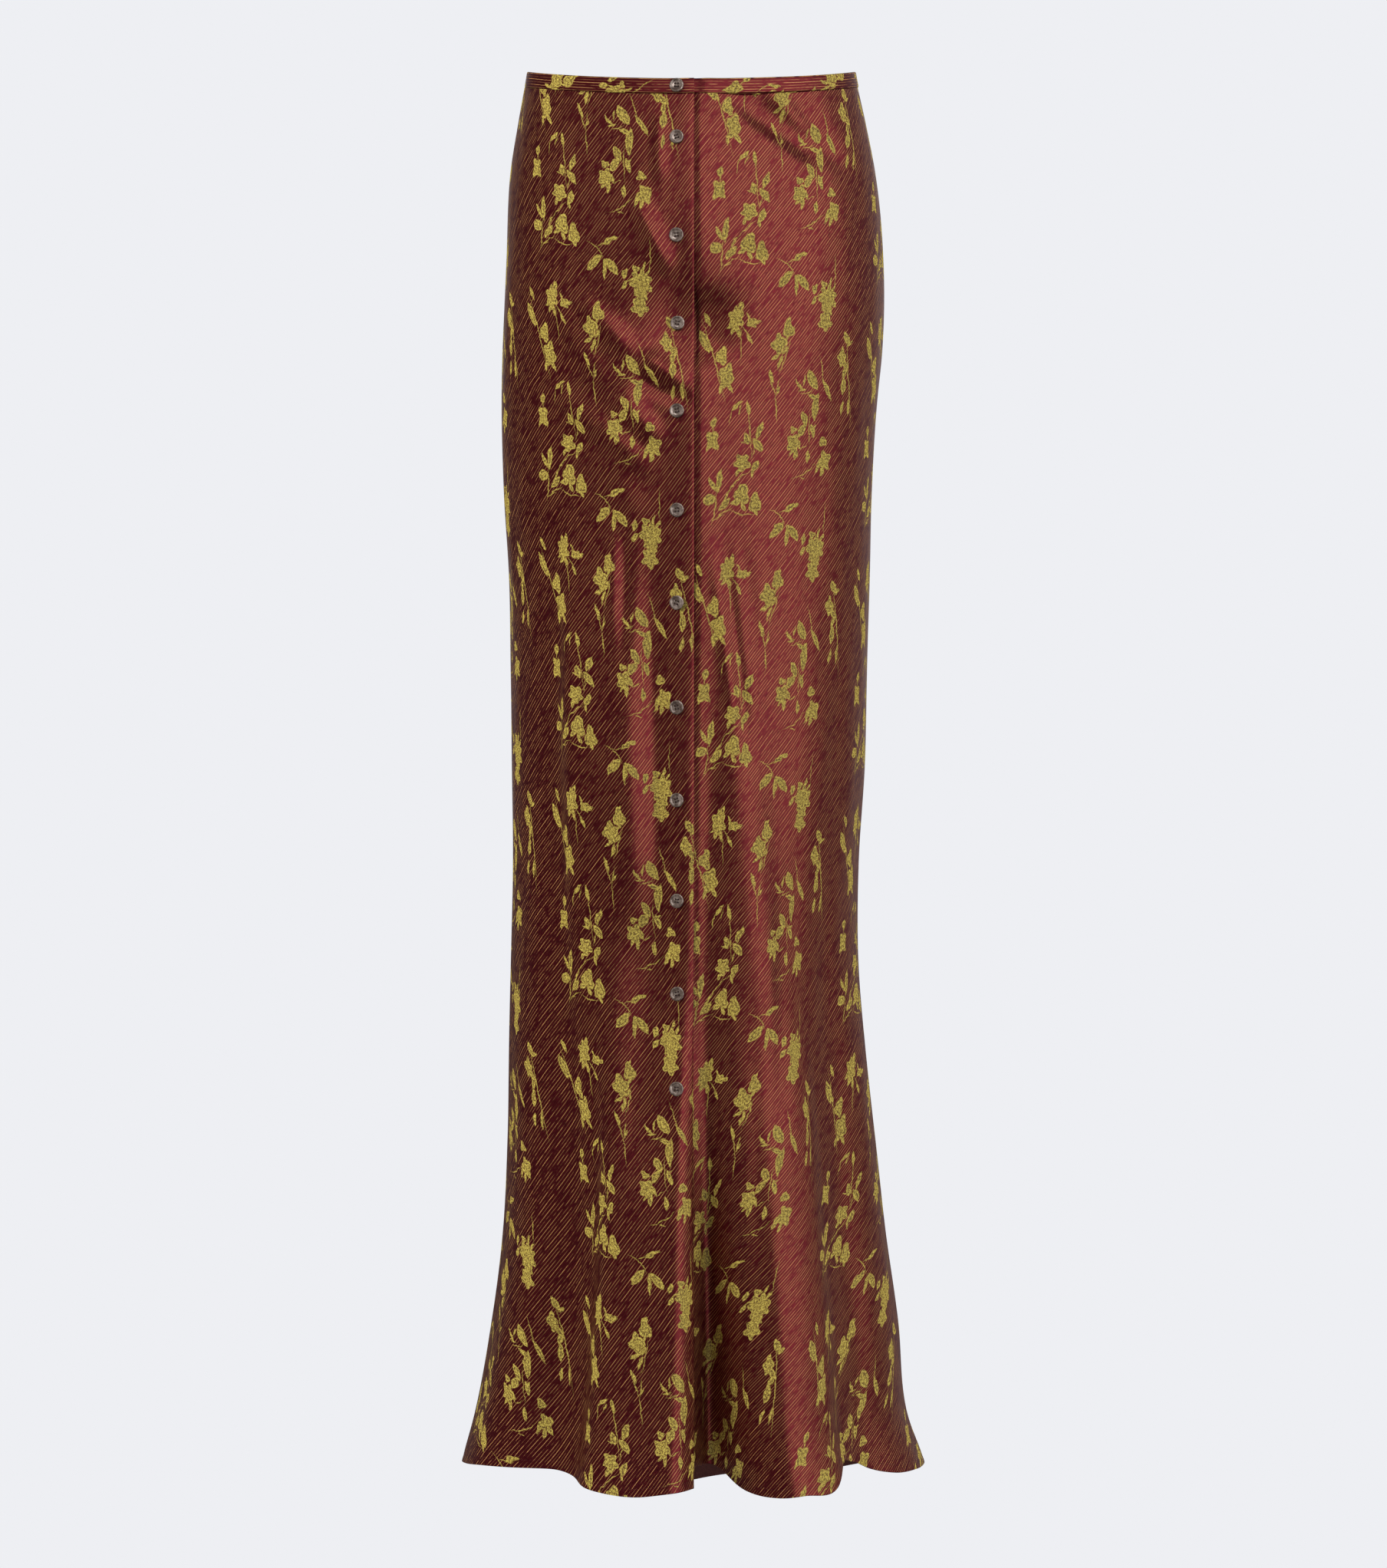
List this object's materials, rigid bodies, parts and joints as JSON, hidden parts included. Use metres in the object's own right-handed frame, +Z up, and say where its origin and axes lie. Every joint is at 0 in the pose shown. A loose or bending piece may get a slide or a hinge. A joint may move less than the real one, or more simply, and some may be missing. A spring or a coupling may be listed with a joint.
{
  "type": "maxi skirt",
  "caption": "Long bias-cut skirt with a button-front placket and narrow waistband, hollow as if worn, flaring to a fluted hem.",
  "frame": {"origin": "centre of the waist opening, level with the top of the waistband at the sides", "axes": "+Z up along the body, -Y towards the front with the buttons, +X towards the wearer's left"},
  "size_m": [0.3617, 0.3175, 1.1281],
  "materials": {
    "cloth": "satin jacquard",
    "button": "pearly"
  },
  "bodies": {
    "root": {"front_over": "cloth", "front_under": "cloth", "back": "cloth", "waistband": "cloth", "button_01": "button", "button_02": "button", "button_03": "button", "button_04": "button", "button_05": "button", "button_06": "button", "button_07": "button", "button_08": "button", "button_09": "button", "button_10": "button", "button_11": "button", "button_12": "button"}
  },
  "joints": []
}
